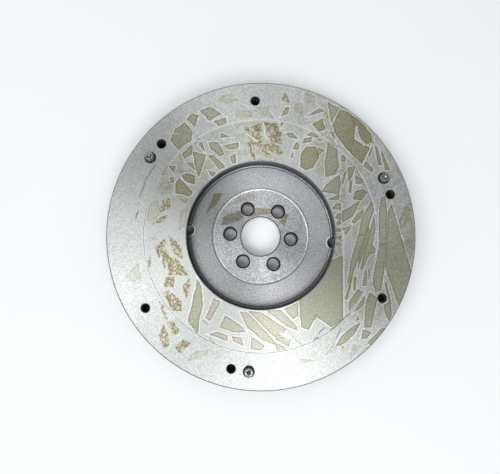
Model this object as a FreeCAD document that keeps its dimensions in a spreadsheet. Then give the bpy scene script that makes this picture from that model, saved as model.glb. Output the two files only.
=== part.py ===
"""Clutch flywheel of a small car engine: turned disc, starter ring gear and three cover dowels.

The origin is the centre of the crankshaft mounting face. +Z is the axis of rotation and points
at the clutch. +X runs through one crankshaft bolt hole and one drain hole.
"""
import FreeCAD, Part
import math
import os
import re

import Sketcher

DIMENSIONS = {
    # turned disc, clutch side
    "OuterDiameter": 270.0,
    "FaceHeight": 32.0,
    "EdgeChamfer": 1.0,
    "FrictionDiameter": 204.0,
    "FrictionDrop": 0.5,
    "RecessDiameter": 130.4,
    "RecessChamfer": 0.5,
    "RecessFloorHeight": 18.0,
    "RecessFillet": 2.5,
    "SeatDiameter": 87.0,
    "SeatHeight": 16.5,
    "SeatFillet": 1.3,
    "BoreDiameter": 35.0,
    "BoreChamfer": 0.4,
    # turned disc, engine side
    "HubDiameter": 92.0,
    "HubDraft": 1.0,
    "WebUnderside": 8.0,
    "WebEndDiameter": 138.0,
    "PlateUnderside": 15.0,
    "PlateStartDiameter": 154.0,
    "RimInnerDiameter": 214.0,
    "RimDraft": 2.0,
    "RimBackHeight": 1.0,
    "GearSeatDiameter": 242.0,
    "GearSeatChamfer": 0.8,
    "ShoulderHeight": 13.0,
    "CastFillet": 4.0,
    # crankshaft bolt holes
    "CrankBoltCount": 6,
    "CrankBoltCircle": 55.0,
    "CrankBoltHole": 10.5,
    "CrankBoltMouth": 12.3,
    # drain holes, drilled from the engine side into the corner of the recess
    "DrainCount": 2,
    "DrainCircle": 130.4,
    "DrainDiameter": 10.5,
    "DrainDepth": 23.0,
    # tapped holes and dowels that carry the clutch cover
    "CoverCircle": 237.0,
    "CoverRepeats": 3,
    "CoverBoltMinor": 6.647,
    "CoverBoltMouth": 8.6,
    "CoverBoltDepth": 16.0,
    "CoverBoltAngle": 22.5,
    "CoverBoltSpacing": 75.0,
    "DowelAngle": 30.0,
    "DowelDiameter": 8.0,
    "DowelMouth": 10.4,
    "DowelMouthDepth": 1.5,
    "DowelHoleDepth": 14.0,
    "DowelLength": 18.5,
    "DowelProud": 5.5,
    "DowelChamfer": 0.8,
    "DowelGrooveWidth": 0.8,
    "DowelGrooveDepth": 0.25,
    "DowelCentreDiameter": 4.2,
    "DowelCentreDepth": 2.5,
    "DrillPointAngle": 118.0,
    # starter ring gear
    "ToothCount": 104,
    "ToothModule": 2.5,
    "PressureAngle": 20.0,
    "ToothEntryChamfer": 1.5,
}


# ---- document helpers ----------------------------------------------------------------------

def write_dimensions(doc):
    """Put every driving dimension into the sheet, one aliased cell each."""
    sheet = doc.addObject("Spreadsheet::Sheet", "Dimensions")
    for row, (alias, value) in enumerate(DIMENSIONS.items(), start=1):
        sheet.set(f"A{row}", alias)
        sheet.set(f"B{row}", str(value))
        sheet.setAlias(f"B{row}", alias)
    doc.recompute()


def bind(item, path, formula):
    """Bind one property to a formula in which each capitalised word is a sheet alias."""
    item.setExpression(path, re.sub(r"[A-Z]\w+", lambda word: f"Dimensions.{word.group()}", formula))


def add_body(doc, label):
    body = doc.addObject("PartDesign::Body", label)
    body.Label = label
    return body


def origin_feature(body, role):
    return next(item for item in body.Origin.OriginFeatures if item.Role == role)


def add_sketch(body, name, plane, height=None):
    """Attach a sketch to one of the body's origin planes, raised by a height formula."""
    sketch = body.newObject("Sketcher::SketchObject", name)
    sketch.AttachmentSupport = (origin_feature(body, plane), [""])
    sketch.MapMode = "FlatFace"
    if height:
        bind(sketch, "AttachmentOffset.Base.z", height)
    return sketch


def pin_point(sketch, geometry, vertex, across, up):
    """Fix one point of a sketch at two formulas, measured from the sketch's origin."""
    here = sketch.getPoint(geometry, vertex)
    for axis, start, formula in (("X", here.x, across), ("Y", here.y, up)):
        rule = Sketcher.Constraint("Distance" + axis, -1, 1, geometry, vertex, start)
        number = sketch.addConstraint(rule)
        bind(sketch, f"Constraints[{number}]", formula)


def draw_outline(sketch, corners):
    """Draw a closed outline of straight lines through corners given as pairs of formulas."""
    count = len(corners)
    turns = [2 * math.pi * index / count for index in range(count)]
    start = [FreeCAD.Vector(60 + 50 * math.cos(turn), 50 * math.sin(turn), 0) for turn in turns]
    for index in range(count):
        sketch.addGeometry(Part.LineSegment(start[index], start[(index + 1) % count]), False)
    for index in range(count):
        sketch.addConstraint(Sketcher.Constraint("Coincident", index, 2, (index + 1) % count, 1))
    for index, (across, up) in enumerate(corners):
        pin_point(sketch, index, 1, across, up)


def turn_outline(body, name, corners):
    """Revolve an outline of (radius, height) corners about the Z axis."""
    sketch = add_sketch(body, name + "_section", "XZ_Plane")
    draw_outline(sketch, corners)
    turned = body.newObject("PartDesign::Revolution", name)
    turned.Profile = sketch
    turned.ReferenceAxis = (sketch, ["V_Axis"])
    turned.Angle = 360
    body.Document.recompute()
    return turned


def draw_circles(sketch, diameter, centres):
    """Draw equal circles whose centres are (angle, circle diameter) formulas."""
    for angle, circle in centres:
        across = f"{circle} / 2 * cos({angle})"
        up = f"{circle} / 2 * sin({angle})"
        geometry = sketch.addGeometry(Part.Circle(FreeCAD.Vector(50, 20, 0), FreeCAD.Vector(0, 0, 1), 5))
        pin_point(sketch, geometry, 3, across, up)
        number = sketch.addConstraint(Sketcher.Constraint("Diameter", geometry, 10))
        bind(sketch, f"Constraints[{number}]", diameter)


def drill(body, name, height, diameter, centres, depth=None, mouth=None, step=None, upwards=False):
    """Drill round holes from a height.

    A hole with a depth is blind and ends in a drill point. A hole with a mouth is countersunk to
    that diameter, or counterbored if the depth of the step is given too.
    """
    sketch = add_sketch(body, name + "_centres", "XY_Plane", height)
    draw_circles(sketch, diameter, centres)
    body.Document.recompute()
    hole = body.newObject("PartDesign::Hole", name)
    hole.Profile = sketch
    body.Document.recompute()
    hole.Reversed = upwards
    bind(hole, "Diameter", diameter)
    hole.DepthType = "Dimension" if depth else "ThroughAll"
    if depth:
        bind(hole, "Depth", depth)
        hole.DrillPoint = "Angled"
        bind(hole, "DrillPointAngle", "DrillPointAngle")
    if mouth:
        hole.HoleCutType = "Counterbore" if step else "Countersink"
        hole.HoleCutCustomValues = True
        bind(hole, "HoleCutDiameter", mouth)
    if step:
        bind(hole, "HoleCutDepth", step)
    elif mouth:
        hole.HoleCutCountersinkAngle = 90
    body.Document.recompute()
    return hole


def repeat_around(body, feature, count):
    """Repeat a feature evenly about the Z axis."""
    pattern = body.newObject("PartDesign::PolarPattern", feature.Name + "_pattern")
    pattern.Originals = [feature]
    pattern.Axis = (origin_feature(body, "Z_Axis"), [""])
    pattern.Angle = 360
    bind(pattern, "Occurrences", count)
    body.Tip = pattern
    body.Document.recompute()
    return pattern


def circle_edges(feature, diameter, height):
    """Names of the circular edges of a feature that have this diameter and height."""
    names = []
    for number, edge in enumerate(feature.Shape.Edges, start=1):
        if not isinstance(edge.Curve, Part.Circle):
            continue
        same_size = abs(2 * edge.Curve.Radius - diameter) < 0.01
        if same_size and abs(edge.Curve.Center.z - height) < 0.01:
            names.append(f"Edge{number}")
    return names


def round_edges(body, name, feature, edges, radius):
    fillet = body.newObject("PartDesign::Fillet", name)
    fillet.Base = (feature, edges)
    bind(fillet, "Radius", radius)
    body.Document.recompute()
    return fillet


# ---- turned disc ---------------------------------------------------------------------------

def disc_section():
    """Half section of the disc as (radius, height), from the crank face round to the bore."""
    engine_side = [
        ("BoreDiameter / 2 + BoreChamfer", "0"),
        ("HubDiameter / 2", "0"),
        ("HubDiameter / 2 + HubDraft", "WebUnderside"),
        ("WebEndDiameter / 2", "WebUnderside"),
        ("PlateStartDiameter / 2", "PlateUnderside"),
        ("RimInnerDiameter / 2 - RimDraft", "PlateUnderside"),
        ("RimInnerDiameter / 2", "RimBackHeight"),
    ]
    rim = [
        ("GearSeatDiameter / 2 - GearSeatChamfer", "RimBackHeight"),
        ("GearSeatDiameter / 2", "RimBackHeight + GearSeatChamfer"),
        ("GearSeatDiameter / 2", "ShoulderHeight"),
        ("OuterDiameter / 2 - EdgeChamfer", "ShoulderHeight"),
        ("OuterDiameter / 2", "ShoulderHeight + EdgeChamfer"),
        ("OuterDiameter / 2", "FaceHeight - EdgeChamfer"),
        ("OuterDiameter / 2 - EdgeChamfer", "FaceHeight"),
    ]
    clutch_side = [
        ("FrictionDiameter / 2 + FrictionDrop", "FaceHeight"),
        ("FrictionDiameter / 2", "FaceHeight - FrictionDrop"),
        ("RecessDiameter / 2 + RecessChamfer", "FaceHeight - FrictionDrop"),
        ("RecessDiameter / 2", "FaceHeight - FrictionDrop - RecessChamfer"),
        ("RecessDiameter / 2", "RecessFloorHeight"),
        ("SeatDiameter / 2", "RecessFloorHeight"),
        ("SeatDiameter / 2", "SeatHeight"),
        ("BoreDiameter / 2 + BoreChamfer", "SeatHeight"),
        ("BoreDiameter / 2", "SeatHeight - BoreChamfer"),
        ("BoreDiameter / 2", "BoreChamfer"),
    ]
    return engine_side + rim + clutch_side


def round_castings(body, blank):
    """Fillet the feet of the recess wall and seat step, and the engine-side pocket's corners."""
    size = DIMENSIONS
    seat_foot = circle_edges(blank, size["SeatDiameter"], size["SeatHeight"])
    blank = round_edges(body, "seat_fillet", blank, seat_foot, "SeatFillet")
    recess_foot = circle_edges(blank, size["RecessDiameter"], size["RecessFloorHeight"])
    blank = round_edges(body, "recess_fillet", blank, recess_foot, "RecessFillet")
    pocket = circle_edges(blank, size["WebEndDiameter"], size["WebUnderside"])
    pocket += circle_edges(blank, size["PlateStartDiameter"], size["PlateUnderside"])
    rim_foot = size["RimInnerDiameter"] - 2 * size["RimDraft"]
    pocket += circle_edges(blank, rim_foot, size["PlateUnderside"])
    round_edges(body, "pocket_fillet", blank, pocket, "CastFillet")


def build_disc(doc):
    disc = add_body(doc, "flywheel_disc")
    blank = turn_outline(disc, "turned_blank", disc_section())
    round_castings(disc, blank)

    crank_holes = drill(disc, "crank_bolt_hole", "SeatHeight", "CrankBoltHole",
                        [("0", "CrankBoltCircle")], mouth="CrankBoltMouth")
    repeat_around(disc, crank_holes, "CrankBoltCount")

    drain = drill(disc, "drain_hole", "0", "DrainDiameter",
                  [("0", "DrainCircle")], depth="DrainDepth", upwards=True)
    repeat_around(disc, drain, "DrainCount")

    pair = [("CoverBoltAngle", "CoverCircle"), ("CoverBoltAngle + CoverBoltSpacing", "CoverCircle")]
    cover_holes = drill(disc, "cover_bolt_hole", "FaceHeight", "CoverBoltMinor", pair,
                        depth="CoverBoltDepth", mouth="CoverBoltMouth")
    repeat_around(disc, cover_holes, "CoverRepeats")

    dowel_hole = drill(disc, "dowel_hole", "FaceHeight", "DowelDiameter",
                       [("DowelAngle", "CoverCircle")], depth="DowelHoleDepth",
                       mouth="DowelMouth", step="DowelMouthDepth")
    repeat_around(disc, dowel_hole, "CoverRepeats")
    return disc


# ---- starter ring gear ---------------------------------------------------------------------

def gear_section():
    """Half section of the toothless ring: the tips are bevelled where the pinion enters."""
    tip = "ToothModule * (ToothCount + 2) / 2"
    return [
        ("GearSeatDiameter / 2", "RimBackHeight"),
        (f"{tip} - ToothEntryChamfer", "RimBackHeight"),
        (tip, "RimBackHeight + ToothEntryChamfer"),
        (tip, "ShoulderHeight"),
        ("GearSeatDiameter / 2", "ShoulderHeight"),
    ]


def tooth_gap():
    """Straight-flanked gap between two teeth, symmetric about +X and open past the tips."""
    lean = "tan(PressureAngle + 90 / ToothCount)"
    pitch = "ToothModule * ToothCount / 2"
    half_gap = "pi * ToothModule / 4"
    root, past_tip = "1.25 * ToothModule", "2 * ToothModule"
    return [
        (f"{pitch} - {root}", f"{half_gap} - {root} * {lean}"),
        (f"{pitch} - {root}", f"{root} * {lean} - {half_gap}"),
        (f"{pitch} + {past_tip}", f"-({half_gap}) - {past_tip} * {lean}"),
        (f"{pitch} + {past_tip}", f"{half_gap} + {past_tip} * {lean}"),
    ]


def build_ring_gear(doc):
    gear = add_body(doc, "starter_ring_gear")
    turn_outline(gear, "gear_blank", gear_section())
    sketch = add_sketch(gear, "tooth_gap_outline", "XY_Plane", "RimBackHeight")
    draw_outline(sketch, tooth_gap())
    gap = gear.newObject("PartDesign::Pocket", "tooth_gap")
    gap.Profile = sketch
    gap.Type = "ThroughAll"
    gap.Reversed = True
    doc.recompute()
    repeat_around(gear, gap, "ToothCount")
    return gear


# ---- cover dowels --------------------------------------------------------------------------

def dowel_section():
    """Half section of a dowel pin standing on its lower end, with a centre hole in its top.

    A relief groove parts the pressed shank from the ground end that locates the cover.
    """
    groove_foot = "DowelLength - DowelProud - DowelMouthDepth"
    groove_top = f"{groove_foot} + DowelGrooveWidth"
    centre_foot = "DowelLength - DowelCentreDepth"
    return [
        ("0", "0"),
        ("DowelDiameter / 2 - DowelChamfer", "0"),
        ("DowelDiameter / 2", "DowelChamfer"),
        ("DowelDiameter / 2", groove_foot),
        ("DowelDiameter / 2 - DowelGrooveDepth", groove_foot),
        ("DowelDiameter / 2 - DowelGrooveDepth", groove_top),
        ("DowelDiameter / 2", groove_top),
        ("DowelDiameter / 2", "DowelLength - DowelChamfer"),
        ("DowelDiameter / 2 - DowelChamfer", "DowelLength"),
        ("DowelCentreDiameter / 2", "DowelLength"),
        ("DowelCentreDiameter / 2", centre_foot),
        ("0", f"{centre_foot} - DowelCentreDiameter / 2 / tan(DrillPointAngle / 2)"),
    ]


def build_dowels(doc):
    dowels = []
    for index in range(DIMENSIONS["CoverRepeats"]):
        dowel = add_body(doc, f"cover_dowel_{index + 1}")
        turn_outline(dowel, f"turned_pin_{index + 1}", dowel_section())
        angle = f"DowelAngle + {index} * 360 / CoverRepeats"
        bind(dowel, "Placement.Base.x", f"CoverCircle / 2 * cos({angle})")
        bind(dowel, "Placement.Base.y", f"CoverCircle / 2 * sin({angle})")
        bind(dowel, "Placement.Base.z", "FaceHeight + DowelProud - DowelLength")
        dowels.append(dowel)
    return dowels


# ---- checks and export ---------------------------------------------------------------------

def check_document(doc, bodies):
    for item in doc.Objects:
        if {"Invalid", "Error"} & set(item.State):
            raise RuntimeError(f"{item.Label} did not compute")
    for body in bodies:
        if body.Shape.isNull() or not body.Shape.isValid():
            raise RuntimeError(f"{body.Label} has no valid shape")
        if len(body.Shape.Solids) != 1:
            raise RuntimeError(f"{body.Label} is not one solid")


def export_bodies(bodies):
    os.makedirs("parts", exist_ok=True)
    for body in bodies:
        body.Shape.exportStep(f"parts/{body.Label}.step")
        print(body.Label, round(body.Shape.Volume), "mm3")


def main():
    doc = FreeCAD.newDocument("flywheel")
    write_dimensions(doc)
    bodies = [build_disc(doc), build_ring_gear(doc)] + build_dowels(doc)
    doc.recompute()
    check_document(doc, bodies)
    export_bodies(bodies)


main()
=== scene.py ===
"""Looks of the clutch flywheel: materials, table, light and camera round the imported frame."""
import math
from functools import reduce

import bpy
from mathutils import Matrix, Vector


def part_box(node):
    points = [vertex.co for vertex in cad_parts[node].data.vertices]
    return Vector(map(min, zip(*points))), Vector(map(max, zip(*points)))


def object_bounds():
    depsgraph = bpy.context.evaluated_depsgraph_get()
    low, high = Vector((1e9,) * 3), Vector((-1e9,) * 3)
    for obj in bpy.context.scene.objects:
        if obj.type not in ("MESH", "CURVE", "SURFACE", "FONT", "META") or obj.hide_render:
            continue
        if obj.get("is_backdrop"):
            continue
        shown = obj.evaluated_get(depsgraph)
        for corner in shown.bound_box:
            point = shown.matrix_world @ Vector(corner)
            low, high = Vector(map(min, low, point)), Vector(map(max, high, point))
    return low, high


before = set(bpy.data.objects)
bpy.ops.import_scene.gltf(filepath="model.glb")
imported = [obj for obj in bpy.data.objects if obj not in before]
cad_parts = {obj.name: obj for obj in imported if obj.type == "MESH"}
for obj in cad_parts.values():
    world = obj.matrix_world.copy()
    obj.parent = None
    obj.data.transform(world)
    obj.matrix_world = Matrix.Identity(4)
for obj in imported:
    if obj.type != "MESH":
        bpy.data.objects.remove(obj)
cad_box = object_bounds()

# Sizes of the turned disc, in metres.
DISC_LOW, DISC_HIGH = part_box("flywheel_disc")
OUTER_RADIUS = DISC_HIGH.x
FACE_HEIGHT = DISC_HIGH.z
SCRIBED_RADIUS = 0.1022
COVER_HOLES_INNER = 0.1125
COVER_HOLES_OUTER = 0.1245
RECESS_RADIUS = 0.0652
RECESS_FLOOR = 0.018
SEAT_RADIUS = 0.0435
SEAT_HEIGHT = 0.0165
BORE_RADIUS = 0.0175
CRANK_CIRCLE_RADIUS = 0.0275
CRANK_HOLES = 6
CAST_INNER = 0.0472
CAST_OUTER = 0.1068
HUB_MIDDLE = 0.012

# How the flywheel lies on the table, and where it is seen from.
LIE_TURN = math.radians(5.1)
VIEW_TILT = math.radians(2.4)
VIEW_DISTANCE = 0.42
AIM = Vector((-0.0095, -0.0201, FACE_HEIGHT))
LENS = 34.8
SENSOR_WIDTH = 36.0
FRAME_SHIFT = 0.042

# A bank of soft boxes round the lower left of the picture and a faint one opposite, each with its
# bearing in degrees from the picture's right and its power in watts.
SOFTBOXES = ((180, 4.4), (210, 4.9), (270, 7.0), (300, 5.3), (90, 1.8))
SOFTBOX_SIZE = 0.75
SOFTBOX_DISTANCE = 1.7
SOFTBOX_RISE = math.radians(62)
LIGHT_COLOUR = (0.96, 1.0, 1.02)
WORLD_STRENGTH = 0.46
TABLE_HALF_WIDTH = 3.0
TABLE_GAP = 0.0002

# Bare metals.
FACE_METAL = (0.480, 0.479, 0.460)
RECESS_METALS = ((0.350, 0.354, 0.350), (0.366, 0.357, 0.368))
# Direction towards which the recess floor gets painted light, and away from which it gets painted shade.
PAINTED_LIGHT_SIDE = (0.9, 0.45, 0.0)
SEAT_METAL = (0.410, 0.405, 0.412)
BORE_METAL = (0.80, 0.81, 0.81)
GEAR_METALS = ((0.30, 0.30, 0.305), (0.27, 0.25, 0.235))
DOWEL_METAL = (0.30, 0.305, 0.30)
TABLE_WHITES = ((0.84, 0.84, 0.84), (0.86, 0.86, 0.86))

# What painted shade and highlights, the cast skin and dried oil do to the metal's colour.
# Painted highlight all round the scribed step, which is also kept free of oil.
SCRIBED_HIGHLIGHT_TONE = (1.25, 1.26, 1.28)
# Painted shade along the rim's edge, on the recess wall and its top and foot lines, and round the bore's
# edge.
RIM_EDGE_SHADE_TONE = (0.55, 0.56, 0.55)
WALL_SHADE_TONE = (0.40, 0.42, 0.42)
WALL_LINE_SHADE_TONE = (0.35, 0.37, 0.37)
BORE_EDGE_SHADE_TONE = (0.30, 0.31, 0.31)
# A painted highlight on the seat's foot, and painted shade on the seat's lip, in the hole mouths and
# inside the holes.
SEAT_FOOT_HIGHLIGHT_TONE = (1.5, 1.5, 1.5)
SEAT_LIP_SHADE_TONE = (0.6, 0.6, 0.6)
CRANK_MOUTH_SHADE_TONE = (0.06, 0.066, 0.07)
COVER_MOUTH_SHADE_TONE = (0.35, 0.36, 0.36)
HOLE_SHADE_TONE = (0.10, 0.11, 0.115)
# A painted highlight round the drain holes.
DRAIN_RIM_HIGHLIGHT_TONE = (2.1, 2.1, 2.1)
# The cast skin's own colour, then the dried oil, the bare metal round it and the scratches.
CAST_TONE = (0.30, 0.30, 0.31)
FILM_TONE = (0.69, 0.68, 0.53)
SLIVER_TONE = (0.74, 0.73, 0.58)
BROWN_TONE = (0.62, 0.57, 0.36)
TAN_TONE = (0.85, 0.80, 0.68)
FAINT_TONE = (0.86, 0.85, 0.74)
BUBBLE_TONE = (0.87, 0.80, 0.61)
VEIN_TONE = (0.48, 0.43, 0.28)
HALO_TONE = (1.32, 1.32, 1.33)
FILM_RIM_TONE = (0.68, 0.66, 0.54)
SCRATCH_TONE = (0.45, 0.45, 0.43)
SHARD_TONE = (0.84, 0.83, 0.70)
SHARD_RIM_TONE = (0.74, 0.74, 0.66)
SMEAR_TONE = (0.80, 0.78, 0.66)
STAIN_TONE = (0.55, 0.51, 0.35)

# Where the long slivers of film would meet, and the sizes of the fine shards, in millimetres.
FAN_CENTRE = (60.0, -130.0, 0.0)
SLIVERS_PER_RADIAN = 24.0
SLIVER_LENGTH = 26.0
SLIVER_SHARE = 0.42
CHIP_SIZE = 8.0
CHIP_SHARE = 0.6
LACE_SIZE = 3.2


# ---- node graph helpers --------------------------------------------------------------------

class Graph:
    """A material's node tree, built by calls that each return the new node's output."""

    def __init__(self, name):
        self.material = bpy.data.materials.new(name)
        self.material.use_nodes = True
        self.tree = self.material.node_tree
        self.tree.nodes.clear()
        self.output = self.tree.nodes.new("ShaderNodeOutputMaterial")

    def feed(self, socket, value):
        if isinstance(value, bpy.types.NodeSocket):
            self.tree.links.new(value, socket)
        else:
            socket.default_value = value

    def node(self, kind, inputs=None, **settings):
        node = self.tree.nodes.new(kind)
        for key, value in settings.items():
            setattr(node, key, value)
        for key, value in (inputs or {}).items():
            self.feed(node.inputs[key], value)
        return node

    def math(self, operation, first, second=0.0, third=0.0):
        return self.node("ShaderNodeMath", {0: first, 1: second, 2: third}, operation=operation).outputs[0]

    def vector(self, operation, first, second):
        return self.node("ShaderNodeVectorMath", {0: first, 1: second}, operation=operation).outputs[0]

    def dot(self, first, second):
        inputs = {0: first, 1: second}
        return self.node("ShaderNodeVectorMath", inputs, operation="DOT_PRODUCT").outputs["Value"]

    def length(self, vector):
        return self.node("ShaderNodeVectorMath", {0: vector}, operation="LENGTH").outputs["Value"]

    def split(self, vector):
        return self.node("ShaderNodeSeparateXYZ", {0: vector}).outputs

    def joined(self, x, y=0.0):
        return self.node("ShaderNodeCombineXYZ", {0: x, 1: y}).outputs[0]

    def add(self, first, second):
        return self.math("ADD", first, second)

    def product(self, *values):
        return reduce(lambda first, second: self.math("MULTIPLY", first, second), values)

    def most(self, *values):
        return reduce(lambda first, second: self.math("MAXIMUM", first, second), values)

    def least(self, *values):
        return reduce(lambda first, second: self.math("MINIMUM", first, second), values)

    def invert(self, value):
        return self.math("SUBTRACT", 1.0, value)

    def ramp(self, value, low, high, start=0.0, end=1.0):
        """Smoothly change from start to end while the value goes from low to high."""
        inputs = {"Value": value, "From Min": low, "From Max": high, "To Min": start, "To Max": end}
        return self.node("ShaderNodeMapRange", inputs, interpolation_type="SMOOTHSTEP").outputs[0]

    def window(self, value, low, high, soft):
        """1 between low and high, 0 outside, with soft edges."""
        rise = self.ramp(value, low - soft, low + soft)
        fall = self.ramp(value, high - soft, high + soft, 1.0, 0.0)
        return self.product(rise, fall)

    def blend(self, amount, first, second, mode="MIX"):
        """Blend two colours, each a socket or an RGB triple."""
        node = self.node("ShaderNodeMix", data_type="RGBA", blend_type=mode)
        self.feed(node.inputs[0], amount)
        for socket, colour in ((node.inputs[6], first), (node.inputs[7], second)):
            self.feed(socket, (*colour, 1.0) if isinstance(colour, tuple) else colour)
        return node.outputs[2]

    def tint(self, colour, amount, tone):
        """Multiply a colour by a tone where amount is 1."""
        return self.blend(amount, colour, self.blend(1.0, colour, tone, "MULTIPLY"))

    def shade(self, colour, value):
        """Multiply a colour by a number."""
        grey = self.node("ShaderNodeCombineColor", {0: value, 1: value, 2: value}).outputs[0]
        return self.blend(1.0, colour, grey, "MULTIPLY")

    def noise(self, point, scale, detail=2.0, roughness=0.5, distortion=0.0):
        inputs = {"Vector": point, "Scale": scale, "Detail": detail, "Roughness": roughness,
                  "Distortion": distortion}
        return self.node("ShaderNodeTexNoise", inputs).outputs[0]

    def shaken(self, point, amount, scale, detail=2.0):
        """Shift a point about by noise."""
        noise = self.node("ShaderNodeTexNoise", {"Vector": point, "Scale": scale, "Detail": detail})
        shift = self.vector("SUBTRACT", noise.outputs["Color"], (0.5, 0.5, 0.5))
        return self.vector("ADD", point, self.vector("MULTIPLY", shift, (amount, amount, 0.0)))

    def cell_border(self, point):
        """Distance to the nearest border between the cells round a point."""
        inputs = {"Vector": point, "Scale": 1.0}
        return self.node("ShaderNodeTexVoronoi", inputs, feature="DISTANCE_TO_EDGE").outputs["Distance"]

    def cell_number(self, point):
        """A random number for each cell round a point."""
        node = self.node("ShaderNodeTexVoronoi", {"Vector": point, "Scale": 1.0})
        return self.node("ShaderNodeSeparateColor", {0: node.outputs["Color"]}).outputs[0]

    def bump(self, height, distance, strength, normal=None):
        inputs = {"Height": height, "Distance": distance, "Strength": strength}
        if normal:
            inputs["Normal"] = normal
        return self.node("ShaderNodeBump", inputs).outputs[0]

    def finish(self, shader):
        self.tree.links.new(shader.outputs[0], self.output.inputs["Surface"])
        return self.material


def metal(graph, colour, roughness, normal):
    shader = graph.node("ShaderNodeBsdfPrincipled")
    graph.feed(shader.inputs["Base Color"], colour)
    graph.feed(shader.inputs["Roughness"], roughness)
    graph.feed(shader.inputs["Normal"], normal)
    shader.inputs["Metallic"].default_value = 1.0
    shader.inputs["Specular IOR Level"].default_value = 0.0
    return shader


# ---- dried oil marks on the clutch face ----------------------------------------------------

# Corners of the marks in millimetres, judged to the nearest one against a grid over the picture:
# across and up as the flywheel lies, from its axis. Each mark is convex. Film is thin and
# grey-green; brown, gold and tan oil dried thicker; faint film is all but worn off.
FILM_UPPER_LEFT = [
    [(-79, 83), (-72, 75), (-61, 84), (-61, 92), (-67, 99), (-75, 94)],
    [(-69, 71), (-67, 67), (-60, 71), (-60, 80)], [(-59, 73), (-57, 58), (-54, 51), (-48, 71)],
    [(-66, 64), (-58, 57), (-59, 63)], [(-54, 109), (-45, 101), (-35, 107), (-45, 113)],
    [(-65, 102), (-58, 95), (-55, 106), (-60, 107)], [(-42, 100), (-36, 96), (-30, 99), (-31, 104)],
    [(-46, 82), (-44, 76), (-36, 69), (-32, 71), (-37, 81)], [(-55, 80), (-49, 74), (-52, 82)],
    [(-33, 79), (-28, 75), (-20, 76), (-20, 81)], [(-35, 90), (-35, 86), (-27, 87)],
    [(-27, 69), (-25, 63), (-22, 63), (-22, 72)], [(-47, 70), (-36, 57), (-31, 60), (-42, 70)],
    [(-46, 56), (-43, 51), (-39, 54)], [(-81, 61), (-76, 54), (-75, 60)],
    [(-58, 84), (-53, 84), (-56, 88)], [(-80, 51), (-79, 46), (-76, 46), (-76, 51)],
]
BROWN = [
    [(-75, 37), (-63, 34), (-60, 38), (-71, 50), (-74, 46)],
    [(-69, 52), (-66, 47), (-58, 45), (-58, 52), (-65, 54)],
    [(63, 97), (66, 88), (75, 76), (82, 83), (83, 96), (79, 107), (70, 111)],
    [(73, 78), (88, 63), (93, 71), (95, 77), (82, 84)], [(79, 107), (83, 97), (91, 96), (86, 102)],
    [(85, 96), (91, 96), (97, 89), (98, 82), (92, 80), (87, 86)],
    [(34, 60), (39, 57), (46, 59), (51, 68), (48, 77), (40, 78), (36, 73)],
    [(81, 31), (88, 31), (94, 37), (90, 40), (82, 38)], [(45, 98), (51, 91), (57, 93), (54, 102)],
]
FAINT = [
    [(-91, 41), (-87, 36), (-79, 36), (-77, 42), (-80, 47), (-88, 45)],
    [(-100, 13), (-94, 11), (-87, 20), (-91, 31), (-99, 26)],
    [(-71, 4), (-66, 8), (-64, 25), (-70, 20)],
    [(-38, 119), (-29, 116), (-21, 119), (-25, 125), (-33, 123)],
    [(-22, 104), (-7, 104), (-9, 109), (-20, 110)],
    [(-7, 110), (4, 105), (11, 103), (7, 112), (-4, 113)], [(39, 116), (48, 117), (48, 123), (39, 125)],
    [(30, 108), (37, 108), (36, 117), (30, 116)],
    [(121, 12), (122, -5), (128, -24), (132, -18), (133, 4), (130, 22), (126, 27)],
    [(32, -107), (34, -111), (46, -108)], [(-118, -36), (-111, -41), (-104, -38), (-106, -24)],
    [(-64, -109), (-47, -104), (-45, -99), (-59, -102)], [(76, -107), (81, -103), (84, -96), (80, -95)],
    [(55, -104), (66, -98), (63, -94)],
]
GOLD = [
    [(-72, 32), (-66, 28), (-63, 32)], [(-13, 99), (-6, 92), (-8, 96)],
    [(-6, 92), (1, 91), (1, 100), (-8, 96)],
    [(-15, 95), (-12, 96), (-1, 82), (-3, 77), (-8, 80)], [(-8, 92), (-2, 92), (3, 83), (-2, 80)],
    [(-3, 80), (0, 81), (10, 68), (5, 67)], [(-13, 84), (-10, 83), (-4, 67), (-7, 66)],
    [(2, 100), (14, 98), (18, 90), (9, 86), (3, 90)], [(6, 88), (18, 91), (18, 80), (9, 82)],
    [(1, 79), (10, 81), (18, 77), (20, 72), (16, 70), (4, 75)],
    [(18, 118), (25, 117), (25, 121), (21, 127)], [(66, -1), (66, -9), (70, -10), (70, 0)],
    [(68, -95), (70, -99), (72, -96)], [(-88, 20), (-79, 24), (-80, 33), (-87, 30)],
    [(-95, 9), (-85, 11), (-81, 17), (-87, 16)],
    [(-92, -11), (-89, -20), (-85, -14), (-83, -3), (-88, -6)],
    [(-81, 0), (-76, -15), (-68, -22), (-69, -11), (-74, -5)],
    [(-87, -14), (-84, -30), (-79, -20), (-83, -12)],
    [(-81, -20), (-80, -35), (-63, -36), (-66, -29), (-74, -20)],
    [(-84, -46), (-76, -45), (-75, -36), (-82, -36)], [(-68, -44), (-65, -55), (-61, -46), (-62, -37)],
    [(-85, -50), (-77, -66), (-69, -66), (-69, -56), (-80, -48)],
    [(-88, -87), (-84, -100), (-79, -95), (-80, -86), (-84, -77)],
    [(-81, -76), (-75, -87), (-70, -83), (-75, -75)], [(-74, -96), (-70, -103), (-60, -94), (-66, -90)],
    [(-89, -57), (-84, -70), (-80, -75), (-84, -61)], [(-99, -22), (-98, -29), (-96, -27), (-96, -17)],
    [(-97, -3), (-92, -4), (-92, -2)],
]
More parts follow.
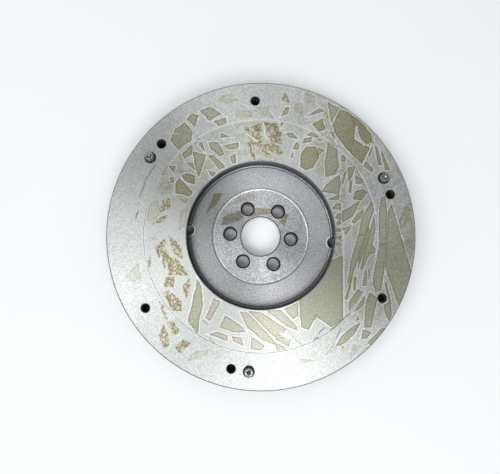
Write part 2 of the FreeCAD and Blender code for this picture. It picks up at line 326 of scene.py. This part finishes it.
FILM_UPPER_RIGHT = [
    [(59, 117), (62, 99), (69, 112)], [(60, 91), (65, 84), (64, 91)],
    [(90, 61), (97, 55), (99, 57), (92, 65)],
    [(59, 81), (56, 62), (57, 51), (65, 53), (68, 60), (67, 76)],
    [(53, 38), (68, 36), (70, 44), (69, 53), (57, 44)], [(58, 31), (68, 31), (69, 36)],
    [(37, 81), (44, 82), (45, 86), (38, 85)], [(40, 88), (50, 86), (51, 89), (45, 91)],
    [(49, 87), (51, 83), (54, 83)], [(18, 105), (24, 107), (25, 113), (22, 113)],
    [(41, 105), (56, 109), (52, 112)], [(22, 90), (25, 86), (33, 85), (28, 90)],
    [(28, 76), (33, 75), (34, 80), (31, 82)], [(26, 68), (28, 68), (28, 74)],
    [(17, 99), (18, 95), (21, 99)], [(49, 69), (56, 75), (50, 77)],
    [(70, 71), (70, 65), (74, 65), (74, 69)], [(71, 45), (72, 44), (75, 57), (73, 55)],
    [(76, 59), (77, 47), (80, 52), (83, 60)], [(77, 37), (79, 37), (80, 48), (78, 47)],
    [(83, 53), (83, 45), (88, 45), (90, 48)], [(100, 78), (103, 61), (106, 62), (102, 78)],
    [(105, 74), (109, 57), (113, 57), (107, 72)], [(94, 72), (95, 68), (98, 76), (99, 83)],
    [(62, 23), (70, 22), (70, 28), (65, 27)], [(65, 15), (70, 13), (70, 19), (67, 19)],
    [(66, 11), (67, 8), (70, 10), (69, 13)], [(65, 3), (70, 3), (70, 6), (66, 6)],
    [(71, 21), (71, 11), (80, 16), (87, 30)], [(71, 6), (72, 1), (75, 1), (79, 8)],
    [(79, 11), (82, 10), (87, 15), (90, 23), (84, 18)],
]
FILM_RIGHT = [
    [(85, 0), (91, 0), (99, 23), (97, 30), (89, 18)],
    [(75, -42), (77, -42), (85, -20), (91, 0), (85, 0), (79, -20)],
    [(86, -30), (88, -30), (96, -14), (100, 5), (99, 18)],
    [(84, -30), (95, 0), (94, 8), (86, -17)], [(94, -17), (99, -16), (100, -12), (96, -8)],
    [(103, -8), (109, -8), (110, 20), (109, 34), (105, 33), (103, 20)],
    [(97, -42), (99, -50), (104, -48), (107, -30), (109, -8), (103, -8), (100, -22)],
    [(108, -28), (120, -64), (127, -50), (131, -34), (114, 27), (111, 20)],
    [(88, -44), (92, -44), (92, -30), (90, -32)], [(73, -56), (75, -56), (80, -36), (79, -33)],
    [(80, -48), (82, -48), (83, -36), (81, -37)], [(107, -40), (111, -60), (113, -60), (109, -42)],
]
FILM_LOWER_RIGHT = [
    [(33, -56), (46, -69), (61, -80), (71, -73), (71, -18), (62, -22)],
    [(33, -56), (35, -80), (41, -82), (48, -71), (48, -60)],
    [(76, -59), (76, -66), (80, -65), (89, -50), (84, -47)],
    [(80, -67), (87, -63), (89, -60), (90, -52)],
    [(89, -80), (95, -80), (101, -55), (94, -50), (91, -58)],
    [(86, -90), (92, -89), (95, -84), (88, -82)],
    [(64, -97), (71, -94), (80, -87), (86, -76), (78, -80), (69, -88)],
    [(92, -93), (95, -96), (103, -88), (108, -81), (104, -81)], [(82, -74), (85, -73), (84, -70)],
    [(106, -61), (108, -70), (111, -75), (113, -70), (112, -58)],
]
TAN = [
    [(-18, -67), (-12, -80), (0, -90), (14, -96), (9, -89), (-12, -67)],
    [(-11, -66), (12, -89), (18, -87), (22, -82), (0, -67)],
    [(12, -90), (24, -97), (26, -90), (18, -88)],
    [(5, -66), (22, -79), (32, -83), (29, -77), (17, -65)],
    [(20, -64), (28, -73), (32, -70), (32, -59)],
    [(-36, -80), (-24, -84), (-13, -84), (-18, -78), (-31, -70)],
    [(-9, -99), (0, -100), (3, -96), (-8, -88)], [(-25, -88), (-24, -92), (-15, -96), (-17, -89)],
    [(-45, -86), (-29, -92), (-29, -87), (-38, -84)], [(12, -93), (14, -101), (24, -99)],
    [(-48, -72), (-44, -75), (-35, -58), (-41, -55)],
]
FILM_LOWER_LEFT = [
    [(-63, -76), (-55, -86), (-51, -62), (-52, -44), (-55, -38)],
]

# Clean cuts through the film and dark scratches: both ends and the width of each.
PALE_STROKES = [
    (72, 4, 72, -74, 1.6), (84, 96, 83, 86, 1.4), (83, 86, 91, 79, 1.4), (-70, 50, -62, 43, 1.5),
    (7, 111, 15, 101, 1.2), (122, 0, 125, -4, 1.6), (-13, 90, -3, 82, 1.4), (2, 99, 5, 84, 1.2),
    (82, 44, 88, 43, 1.2), (103, 78, 108, 60, 0.9), (70, 72, 70, 58, 1.2), (-86, 90, -73, 89, 0.6),
    (66, -5, 70, -6, 0.9), (98, 80, 92, 68, 1.2), (55, 47, 69, 54, 1.3), (17, -85, 25, -90, 2.2),
]
DARK_STROKES = [
    (-92, 62, -100, 50, 0.9), (-100, 50, -106, 33, 0.9), (-82, 61, -87, 53, 0.8),
    (-107, 21, -109, 15, 1.2), (50, -85, 55, -80, 1.3), (46, -90, 50, -88, 1.4),
    (69, -81, 65, -89, 0.9), (60, -83, 77, -68, 1.0), (18, -78, 36, -96, 0.5),
    (-50, -74, -46, -78, 0.6), (93, -30, 94, -38, 0.8), (-71, 56, -61, 56, 0.6),
    (57, 109, 59, 103, 0.8), (59, 82, 68, 77, 0.8), (71, 71, 83, 59, 0.6), (83, 59, 92, 43, 0.6),
    (92, 43, 98, 27, 0.6), (101, 18, 101, 4, 0.6), (-45, -89, -40, -94, 0.6),
]

# Oil on the crankshaft bolt seat and the recess floor round it.
SEAT_STAINS = [
    [(-49, 20), (-38, 31), (-34, 39), (-42, 39)],
    [(-35, 10), (-26, 12), (-15, 16), (-17, 24), (-34, 18)], [(-12, 17), (11, 21), (11, 25), (-4, 26)],
    [(17, 14), (21, 9), (26, 19), (21, 22)],
]
SEAT_SMEARS = [
    [(-26, 30), (-20, 38), (-5, 39), (-6, 33)], [(8, -34), (10, -39), (15, -38), (16, -34)],
]


def anticlockwise(corners):
    """Sort a convex mark's corners by their bearing from its middle."""
    middle_x = sum(x for x, _ in corners) / len(corners)
    middle_y = sum(y for _, y in corners) / len(corners)
    return sorted(corners, key=lambda corner: math.atan2(corner[1] - middle_y, corner[0] - middle_x))


def edge_planes(mark):
    """For each side of a convex mark, what gives the distance past it from (across, up, 1)."""
    corners = anticlockwise(mark)
    for (x, y), (next_x, next_y) in zip(corners, corners[1:] + corners[:1]):
        length = math.hypot(next_x - x, next_y - y)
        out_x = (next_y - y) / length
        out_y = (x - next_x) / length
        yield (out_x, out_y, -(out_x * x + out_y * y))


def mark_distance(graph, point, marks):
    """Distance in millimetres to the nearest of some convex marks, negative inside one."""
    past_edges = ([graph.dot(point, plane) for plane in edge_planes(mark)] for mark in marks)
    return graph.least(*(graph.most(*past) for past in past_edges))


def stroke(x, y, end_x, end_y, width):
    """Corners of a straight stroke between two points."""
    length = math.hypot(end_x - x, end_y - y)
    side_x = (y - end_y) / length * width / 2
    side_y = (end_x - x) / length * width / 2
    return [(x + side_x, y + side_y), (x - side_x, y - side_y),
            (end_x - side_x, end_y - side_y), (end_x + side_x, end_y + side_y)]


class Marks:
    """Distances to marks on a flywheel that lies as in the picture, and the noise that wears them."""

    def __init__(self, graph, place):
        inputs = {"Vector": place, "Rotation": (0.0, 0.0, -LIE_TURN), "Scale": (1000.0, 1000.0, 1000.0)}
        lying = graph.node("ShaderNodeMapping", inputs).outputs[0]
        self.graph = graph
        self.flat = graph.vector("MULTIPLY", lying, (1.0, 1.0, 0.0))
        torn = graph.shaken(graph.shaken(self.flat, 3.0, 0.09), 1.0, 0.7, 3.0)
        self.torn = graph.vector("ADD", torn, (0.0, 0.0, 1.0))
        self.clean = graph.vector("ADD", graph.shaken(self.flat, 1.2, 0.12), (0.0, 0.0, 1.0))
        self.fleck = graph.noise(self.flat, 0.75, 4.0, 0.7)
        self.patch = graph.noise(self.flat, 0.28, 3.0, 0.6, 0.6)

    def ragged(self, marks):
        """Distance to marks with torn edges."""
        return mark_distance(self.graph, self.torn, marks)

    def crisp(self, marks):
        """Distance to marks with nearly straight edges."""
        return mark_distance(self.graph, self.clean, marks)

    def inside(self, distance):
        return self.graph.ramp(distance, -0.35, 0.35, 1.0, 0.0)

    def outline(self, distance):
        return self.graph.window(distance, -0.95, 0.2, 0.25)


class Oil(Marks):
    """The dried oil on the clutch face: distances to each kind of mark, and where oil is kept."""

    def __init__(self, graph, regions):
        super().__init__(graph, regions.place)
        self.film = graph.least(self.ragged(FILM_UPPER_LEFT + FILM_LOWER_LEFT),
                                self.crisp(FILM_UPPER_RIGHT + FILM_LOWER_RIGHT))
        self.sliver = self.crisp(FILM_RIGHT)
        self.brown = self.ragged(BROWN)
        self.tan = self.crisp(TAN)
        self.gold = self.ragged(GOLD)
        self.faint = self.ragged(FAINT)
        self.nearest = graph.least(self.film, self.brown, self.tan, self.sliver)
        self.uncut = graph.ramp(self.crisp([stroke(*ends) for ends in PALE_STROKES]), -0.2, 0.3)
        self.open_face = graph.product(regions.face, graph.invert(regions.scribed))
        self.kept = graph.product(self.open_face, self.uncut)
        self.mottle = graph.ramp(self.fleck, 0.34, 0.6, 1.2, 0.75)
        self.patches = graph.ramp(self.patch, 0.44, 0.52)


def fine_shards(graph, oil, point, cover, share, colour):
    """Small shards of film with thin outlines, on a share of the cells round a point."""
    border = graph.cell_border(point)
    picked = graph.ramp(graph.cell_number(point), share - 0.02, share + 0.02, 1.0, 0.0)
    worn = graph.product(graph.ramp(oil.patch, 0.36, 0.5), cover)
    body = graph.product(picked, graph.ramp(border, 0.05, 0.09), worn)
    rim = graph.product(graph.window(border, 0.03, 0.085, 0.012), graph.ramp(oil.fleck, 0.4, 0.55), worn)
    return graph.tint(graph.tint(colour, body, SHARD_TONE), rim, SHARD_RIM_TONE)


def slivers(graph, oil, colour, bearing, cover):
    """Long slivers of film on the right, fanned out from one point."""
    from_fan = graph.vector("SUBTRACT", oil.flat, FAN_CENTRE)
    fan_x, fan_y, _ = graph.split(from_fan)
    turn = graph.product(graph.math("ARCTAN2", fan_x, fan_y), SLIVERS_PER_RADIAN)
    point = graph.joined(turn, graph.product(graph.length(from_fan), 1 / SLIVER_LENGTH))
    right = graph.product(graph.window(bearing, -0.7, 1.3, 0.1), cover)
    return fine_shards(graph, oil, point, right, SLIVER_SHARE, colour)


def chips(graph, oil, colour, bearing, cover):
    """Short chips of film on the upper left, inside the scribed circle."""
    point = graph.vector("MULTIPLY", oil.torn, (1 / CHIP_SIZE, 1 / CHIP_SIZE, 0.0))
    inner = graph.ramp(graph.length(oil.flat), 98, 106, 1.0, 0.0)
    left = graph.product(graph.window(bearing, 1.3, 2.75, 0.15), cover, inner)
    return fine_shards(graph, oil, point, left, CHIP_SHARE, colour)


def shattered(graph, oil, colour):
    """Film broken fine between the large shards."""
    across, up, _ = graph.split(oil.flat)
    bearing = graph.math("ARCTAN2", up, across)
    beside = graph.ramp(graph.least(oil.nearest, oil.gold), 0.6, 1.0)
    cover = graph.product(oil.kept, beside)
    colour = slivers(graph, oil, colour, bearing, cover)
    return chips(graph, oil, colour, bearing, cover)


def sanded(graph, oil, colour):
    """Give dried film its sandy grain."""
    sand = graph.ramp(graph.noise(oil.flat, 1.3, 3.0, 0.75), 0.36, 0.64, 1.14, 0.84)
    amount = graph.product(oil.inside(oil.nearest), oil.open_face)
    return graph.blend(amount, colour, graph.shade(colour, sand))


def laced(graph, oil, colour):
    """Gold oil dried to a lace of brown veins round pale and tan bubbles."""
    point = graph.vector("MULTIPLY", oil.torn, (1 / LACE_SIZE, 0.7 / LACE_SIZE, 0.0))
    vein = graph.product(graph.ramp(graph.cell_border(point), 0.07, 0.15, 1.0, 0.0),
                         graph.ramp(oil.fleck, 0.34, 0.5))
    filled = graph.math("MULTIPLY_ADD", oil.patches, 0.4, 0.6)
    cover = graph.product(oil.inside(oil.gold), oil.kept)
    colour = graph.tint(colour, graph.product(cover, filled), BUBBLE_TONE)
    return graph.tint(colour, graph.product(cover, vein), VEIN_TONE)


def filmed(graph, oil, colour):
    """The large shards of film, and the faint patches that are all but gone."""
    for distance, tone in ((oil.film, FILM_TONE), (oil.sliver, SLIVER_TONE), (oil.brown, BROWN_TONE),
                           (oil.tan, TAN_TONE)):
        colour = graph.tint(colour, graph.product(oil.inside(distance), oil.mottle, oil.kept), tone)
    colour = sanded(graph, oil, colour)
    thin = graph.math("MULTIPLY_ADD", oil.patches, 0.45, 0.5)
    return graph.tint(colour, graph.product(oil.inside(oil.faint), oil.mottle, thin, oil.kept), FAINT_TONE)


def rimmed(graph, oil, colour):
    """Bright bare metal round the shards and along the clean cuts, and the shards' dark rims."""
    halo = graph.product(graph.window(oil.nearest, 0.3, 1.25, 0.2), graph.ramp(oil.patch, 0.36, 0.5))
    halo = graph.most(halo, graph.product(graph.invert(oil.uncut), 0.8))
    colour = graph.tint(colour, graph.product(halo, oil.open_face), HALO_TONE)
    rims = graph.most(oil.outline(oil.nearest), graph.product(oil.outline(oil.faint), 0.5))
    rims = graph.product(rims, graph.ramp(oil.fleck, 0.36, 0.52), oil.kept)
    return graph.tint(colour, rims, FILM_RIM_TONE)


def oiled(graph, colour, regions):
    """Lay the dried oil over the bare clutch face, and scratch it."""
    oil = Oil(graph, regions)
    for layer in (shattered, filmed, laced, rimmed):
        colour = layer(graph, oil, colour)
    scratches = oil.inside(oil.ragged([stroke(*ends) for ends in DARK_STROKES]))
    return graph.tint(colour, graph.product(scratches, regions.face), SCRATCH_TONE)


def recess_stains(graph, colour, regions):
    """Brown oil left on the seat and the recess floor."""
    marks = Marks(graph, regions.place)
    mottle = graph.ramp(marks.fleck, 0.3, 0.6, 0.55, 1.0)
    floor = graph.product(regions.recess, regions.above(HUB_MIDDLE))
    for corners, tone in ((SEAT_SMEARS, SMEAR_TONE), (SEAT_STAINS, STAIN_TONE)):
        stain = graph.product(marks.inside(marks.ragged(corners)), mottle, floor)
        colour = graph.tint(colour, stain, tone)
    return colour


# ---- turned disc ---------------------------------------------------------------------------

class Regions:
    """Masks of the disc's machined and cast regions, picked out by radius, height and slope."""

    def __init__(self, graph):
        texture = graph.node("ShaderNodeTexCoord")
        self.graph = graph
        self.place = texture.outputs["Object"]
        self.x, self.y, self.height = graph.split(self.place)
        self.radius = graph.length(graph.joined(self.x, self.y))
        self.facing = graph.split(texture.outputs["Normal"])[2]
        self.find_levels()
        self.find_edges()
        self.find_holes()

    def ring(self, inner, outer, soft=0.0001):
        return self.graph.window(self.radius, inner, outer, soft)

    def within(self, radius, soft=0.0001):
        return self.graph.ramp(self.radius, radius - soft, radius + soft, 1.0, 0.0)

    def above(self, height, soft=0.0002):
        return self.graph.ramp(self.height, height - soft, height + soft)

    def below(self, height, soft=0.0002):
        return self.graph.ramp(self.height, height - soft, height + soft, 1.0, 0.0)

    def find_levels(self):
        """The clutch face with its scribed circle, the recess, the seat in it and the engine side."""
        product = self.graph.product
        self.face = self.above(FACE_HEIGHT - 0.0014)
        self.scribed = self.ring(SCRIBED_RADIUS - 0.0008, SCRIBED_RADIUS + 0.0006, 0.0003)
        self.recess = product(self.within(RECESS_RADIUS + 0.0003), self.graph.invert(self.face))
        self.seat = product(self.ring(BORE_RADIUS - 0.001, SEAT_RADIUS), self.below(RECESS_FLOOR - 0.0005))
        hub_side = product(self.ring(CAST_INNER, 0.068), self.below(0.0095))
        self.cast = self.graph.add(hub_side, product(self.ring(0.068, CAST_OUTER), self.below(0.020)))

    def find_edges(self):
        """The rim's edge, the recess wall and its lines, and the edges of seat and bore: places for
        painted shade, and for a painted highlight at the seat's foot.
        """
        product = self.graph.product
        # Painted shade along the rim's edge.
        self.rim_edge = product(self.ring(OUTER_RADIUS - 0.0011, OUTER_RADIUS + 0.001), self.face)
        # Painted shade on the recess wall, darker still in lines at its top and foot.
        self.wall = product(self.ring(RECESS_RADIUS - 0.0026, RECESS_RADIUS + 0.0004),
                            self.graph.invert(self.face))
        wall_foot = product(self.ring(RECESS_RADIUS - 0.0028, RECESS_RADIUS - 0.0020), self.recess)
        wall_top = product(self.wall, self.above(FACE_HEIGHT - 0.0040, 0.0004))
        self.wall_shade_lines = self.graph.most(wall_foot, wall_top)
        # A painted highlight at the seat's foot.
        self.seat_foot_highlight = product(self.ring(SEAT_RADIUS - 0.0016, SEAT_RADIUS - 0.0002),
                                 self.above(HUB_MIDDLE), self.below(RECESS_FLOOR))
        # Painted shade on the seat's lip.
        self.seat_lip_shade = product(self.ring(SEAT_RADIUS, SEAT_RADIUS + 0.0006), self.recess,
                                self.above(HUB_MIDDLE))
        # Painted shade round the bore's edge.
        self.bore_edge = product(self.ring(BORE_RADIUS - 0.0001, BORE_RADIUS + 0.0009),
                                 self.above(SEAT_HEIGHT - 0.0012))
        self.bore_wall = product(self.within(BORE_RADIUS + 0.0003), self.below(SEAT_HEIGHT - 0.0011))

    def find_holes(self):
        """The mouths and insides of the crankshaft, cover and drain holes, for painted shade, and the
        drain holes' rims, for a painted highlight.
        """
        graph = self.graph
        steep = graph.ramp(graph.math("ABSOLUTE", self.facing), 0.85, 0.95, 1.0, 0.0)
        # Painted shade in the crankshaft hole mouths.
        self.crank_mouths = graph.product(graph.window(self.from_crank_hole(), 0.0045, 0.0065, 0.0001),
                                          self.above(SEAT_HEIGHT - 0.0035, 0.0010))
        cover_ring = self.ring(COVER_HOLES_INNER, COVER_HOLES_OUTER)
        # Painted shade in the cover hole mouths, and inside the cover holes, dowel counterbores and drain
        # holes.
        self.cover_mouths = graph.product(cover_ring, steep, self.above(FACE_HEIGHT - 0.0012))
        cover_holes = graph.product(cover_ring, self.above(0.0155),
                                    self.below(FACE_HEIGHT - 0.0004, 0.0003))
        from_drain = self.from_drain()
        drains = graph.product(graph.ramp(from_drain, 0.0054, 0.0058, 1.0, 0.0), self.below(0.0232), steep)
        self.holes = graph.most(cover_holes, drains)
        # A painted highlight round the drain holes' rims.
        self.drain_rim_highlights = graph.product(graph.window(from_drain, 0.0050, 0.0062, 0.0001), self.recess,
                                        self.above(HUB_MIDDLE))

    def from_crank_hole(self):
        """Distance from the axis of the nearest crankshaft bolt hole."""
        graph = self.graph
        bearing = graph.math("PINGPONG", graph.math("ARCTAN2", self.y, self.x), math.pi / CRANK_HOLES)
        along = graph.product(self.radius, graph.math("COSINE", bearing))
        across = graph.product(self.radius, graph.math("SINE", bearing))
        return graph.length(graph.joined(graph.math("SUBTRACT", along, CRANK_CIRCLE_RADIUS), across))

    def from_drain(self):
        """Distance from the axis of the nearest drain hole."""
        along = self.graph.math("SUBTRACT", self.graph.math("ABSOLUTE", self.x), RECESS_RADIUS)
        return self.graph.length(self.graph.joined(along, self.y))


def turning_marks(graph, regions):
    """Fine noise in rings round the axis, from the lathe tool."""
    return graph.noise(graph.joined(graph.product(regions.radius, 2600.0)), 1.0, 3.0, 0.6)


def bare_metal(graph, regions, grain, cloud, turning):
    """Turned metal, with a blasted recess and seat, the recess painted lighter towards one side and darker
    towards the other as painted light and shade.
    """
    place = regions.place
    cast = graph.blend(graph.ramp(graph.noise(place, 16.0), 0.4, 0.6), *RECESS_METALS)
    # Painted light and shade: the recess floor is lighter towards one side and darker towards the other.
    cast = graph.shade(cast, graph.ramp(graph.dot(place, PAINTED_LIGHT_SIDE), -0.05, 0.05, 0.86, 1.2))
    colour = graph.blend(regions.recess, FACE_METAL, cast)
    colour = graph.blend(regions.seat, colour, SEAT_METAL)
    colour = graph.shade(colour, graph.ramp(grain, 0.3, 0.7, 0.76, 1.2))
    blasted = graph.ramp(graph.noise(place, 1250.0, 1.0, 0.6), 0.34, 0.66, 0.68, 1.32)
    amount = graph.product(graph.add(regions.recess, regions.seat), 0.5)
    colour = graph.blend(amount, colour, graph.shade(colour, blasted))
    drift = graph.product(graph.ramp(cloud, 0.3, 0.7, 0.94, 1.05),
                          graph.ramp(turning, 0.3, 0.7, 0.95, 1.04))
    return graph.shade(colour, drift)


def edges_and_holes(graph, colour, regions):
    """Paint shade and highlights along the edges, paint shade into the holes, and darken the cast skin."""
    # Painted shade along the rim's edge, on the recess wall and its lines, and round the bore's edge.
    for amount, tone in ((regions.rim_edge, RIM_EDGE_SHADE_TONE), (regions.wall, WALL_SHADE_TONE),
                         (regions.wall_shade_lines, WALL_LINE_SHADE_TONE), (regions.bore_edge, BORE_EDGE_SHADE_TONE)):
        colour = graph.tint(colour, amount, tone)
    colour = graph.blend(regions.bore_wall, colour, BORE_METAL)
    # A painted highlight on the seat's foot and round the drains, painted shade on the seat's lip, in the
    # hole mouths and inside the holes, then the cast skin's own colour.
    for amount, tone in ((regions.seat_foot_highlight, SEAT_FOOT_HIGHLIGHT_TONE), (regions.seat_lip_shade, SEAT_LIP_SHADE_TONE),
                         (regions.crank_mouths, CRANK_MOUTH_SHADE_TONE), (regions.holes, HOLE_SHADE_TONE),
                         (regions.cover_mouths, COVER_MOUTH_SHADE_TONE), (regions.drain_rim_highlights, DRAIN_RIM_HIGHLIGHT_TONE),
                         (regions.cast, CAST_TONE)):
        colour = graph.tint(colour, amount, tone)
    return colour


def disc_roughness(graph, regions, cloud):
    """Smooth bore and wall, rough casting and rough holes."""
    roughness = graph.most(graph.ramp(cloud, 0.3, 0.7, 0.36, 0.40), graph.product(regions.cast, 0.7),
                           graph.product(regions.holes, 0.8))
    smoother_bore = graph.ramp(regions.bore_wall, 0.0, 1.0, 1.0, 0.45)
    smoother_wall = graph.ramp(regions.wall, 0.0, 1.0, 1.0, 0.7)
    return graph.product(roughness, smoother_bore, smoother_wall)


def disc_normal(graph, regions, grain, turning):
    pits = graph.product(graph.noise(regions.place, 260.0, 4.0, 0.6), regions.cast)
    normal = graph.bump(turning, 0.00002, 0.5)
    normal = graph.bump(grain, 0.00005, 0.5, normal)
    return graph.bump(pits, 0.0006, 1.0, normal)


def disc_material():
    """Turned cast iron, whose sheen runs along the turning marks, with dull painted shade in its holes."""
    graph = Graph("turned_cast_iron")
    regions = Regions(graph)
    grain = graph.noise(regions.place, 950.0, 2.0, 0.7)
    cloud = graph.noise(regions.place, 22.0, 3.0, 0.5)
    turning = turning_marks(graph, regions)

    colour = bare_metal(graph, regions, grain, cloud, turning)
    # Painted highlight all round the scribed step.
    colour = graph.tint(colour, graph.product(regions.scribed, regions.face), SCRIBED_HIGHLIGHT_TONE)
    colour = oiled(graph, colour, regions)
    colour = recess_stains(graph, colour, regions)
    colour = edges_and_holes(graph, colour, regions)

    normal = disc_normal(graph, regions, grain, turning)
    shader = metal(graph, colour, disc_roughness(graph, regions, cloud), normal)
    # Painted shade in the holes, the crankshaft hole mouths and the wall's lines is also made dull, with
    # less metal.
    painted_shade = graph.most(regions.holes, regions.crank_mouths, graph.product(regions.wall_shade_lines, 0.6))
    tangent = graph.node("ShaderNodeTangent", direction_type="RADIAL", axis="Z")
    graph.feed(shader.inputs["Metallic"], graph.invert(painted_shade))
    graph.feed(shader.inputs["Tangent"], tangent.outputs[0])
    shader.inputs["Anisotropic"].default_value = 0.75
    shader.inputs["Anisotropic Rotation"].default_value = 0.25
    return graph.finish(shader)


# ---- ring gear and dowels ------------------------------------------------------------------

def gear_material():
    """Hardened steel, heat-tinted and lightly rubbed."""
    graph = Graph("gear_steel")
    place = graph.node("ShaderNodeTexCoord").outputs["Object"]
    grain = graph.noise(place, 700.0, 3.0, 0.6)
    cloud = graph.noise(place, 60.0, 3.0, 0.6)
    tone = graph.product(graph.ramp(grain, 0.3, 0.7, 0.85, 1.1), graph.ramp(cloud, 0.35, 0.65, 0.85, 1.1))
    colour = graph.shade(graph.blend(graph.ramp(cloud, 0.4, 0.7), *GEAR_METALS), tone)
    roughness = graph.ramp(cloud, 0.3, 0.7, 0.36, 0.5)
    return graph.finish(metal(graph, colour, roughness, graph.bump(grain, 0.00003, 0.5)))


def dowel_material():
    """Ground steel, stained dark in blotches."""
    graph = Graph("dowel_steel")
    place = graph.node("ShaderNodeTexCoord").outputs["Object"]
    grain = graph.noise(place, 900.0, 3.0, 0.6)
    blotch = graph.noise(place, 420.0, 3.0, 0.6, 0.5)
    tone = graph.product(graph.ramp(grain, 0.3, 0.7, 0.85, 1.1), graph.ramp(blotch, 0.38, 0.58, 0.5, 1.25))
    colour = graph.shade(DOWEL_METAL, tone)
    roughness = graph.ramp(blotch, 0.38, 0.58, 0.42, 0.24)
    return graph.finish(metal(graph, colour, roughness, graph.bump(grain, 0.00003, 0.5)))


def dress(node, material):
    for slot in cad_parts[node].material_slots:
        slot.material = material


# ---- table, light and camera ---------------------------------------------------------------

def table_material():
    """Matt white, with a faint cloud."""
    graph = Graph("table_white")
    place = graph.node("ShaderNodeTexCoord").outputs["Object"]
    cloud = graph.ramp(graph.noise(place, 3.0), 0.3, 0.7)
    shader = graph.node("ShaderNodeBsdfPrincipled")
    graph.feed(shader.inputs["Base Color"], graph.blend(cloud, *TABLE_WHITES))
    shader.inputs["Roughness"].default_value = 0.8
    shader.inputs["Specular IOR Level"].default_value = 0.2
    return graph.finish(shader)


def add_table():
    half = TABLE_HALF_WIDTH
    corners = [(-half, -half, 0), (half, -half, 0), (half, half, 0), (-half, half, 0)]
    mesh = bpy.data.meshes.new("table")
    mesh.from_pydata(corners, [], [(0, 1, 2, 3)])
    mesh.materials.append(table_material())
    table = bpy.data.objects.new("table", mesh)
    bpy.context.collection.objects.link(table)
    table.location.z = DISC_LOW.z - TABLE_GAP
    table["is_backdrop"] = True


def add_softbox(name, bearing, power):
    """A square area light aimed at the disc, at a bearing measured in the picture."""
    light = bpy.data.lights.new(name, "AREA")
    light.shape = "SQUARE"
    light.size = SOFTBOX_SIZE
    light.energy = power
    light.color = LIGHT_COLOUR
    lamp = bpy.data.objects.new(name, light)
    bpy.context.collection.objects.link(lamp)
    angle = math.radians(bearing) + LIE_TURN
    level = math.cos(SOFTBOX_RISE)
    away = Vector((math.cos(angle) * level, math.sin(angle) * level, math.sin(SOFTBOX_RISE)))
    lamp.location = away * SOFTBOX_DISTANCE
    lamp.rotation_euler = away.to_track_quat("Z", "Y").to_euler()


def add_light():
    world = bpy.data.worlds.new("studio")
    bpy.context.scene.world = world
    world.use_nodes = True
    background = world.node_tree.nodes["Background"]
    background.inputs["Color"].default_value = (*LIGHT_COLOUR, 1.0)
    background.inputs["Strength"].default_value = WORLD_STRENGTH
    for bearing, power in SOFTBOXES:
        add_softbox(f"softbox_{bearing}", bearing, power)


def add_camera():
    """Look down on the clutch face, tilted a little, with the flywheel turned as it lies."""
    camera = bpy.data.cameras.new("camera")
    camera.lens = LENS
    camera.sensor_width = SENSOR_WIDTH
    camera.shift_y = FRAME_SHIFT
    eye = bpy.data.objects.new("camera", camera)
    bpy.context.collection.objects.link(eye)
    turn = Matrix.Rotation(LIE_TURN, 4, "Z")
    tilt = Matrix.Rotation(VIEW_TILT, 4, "X")
    back = Matrix.Translation((0, 0, VIEW_DISTANCE))
    eye.matrix_world = turn @ Matrix.Translation(AIM) @ tilt @ back
    bpy.context.scene.camera = eye


dress("flywheel_disc", disc_material())
dress("starter_ring_gear", gear_material())
dowel_steel = dowel_material()
for index in (1, 2, 3):
    dress(f"cover_dowel_{index}", dowel_steel)

add_table()
add_light()
add_camera()
bpy.context.scene.view_settings.view_transform = "Standard"

[[list(corner) for corner in box] for box in (cad_box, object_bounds())]
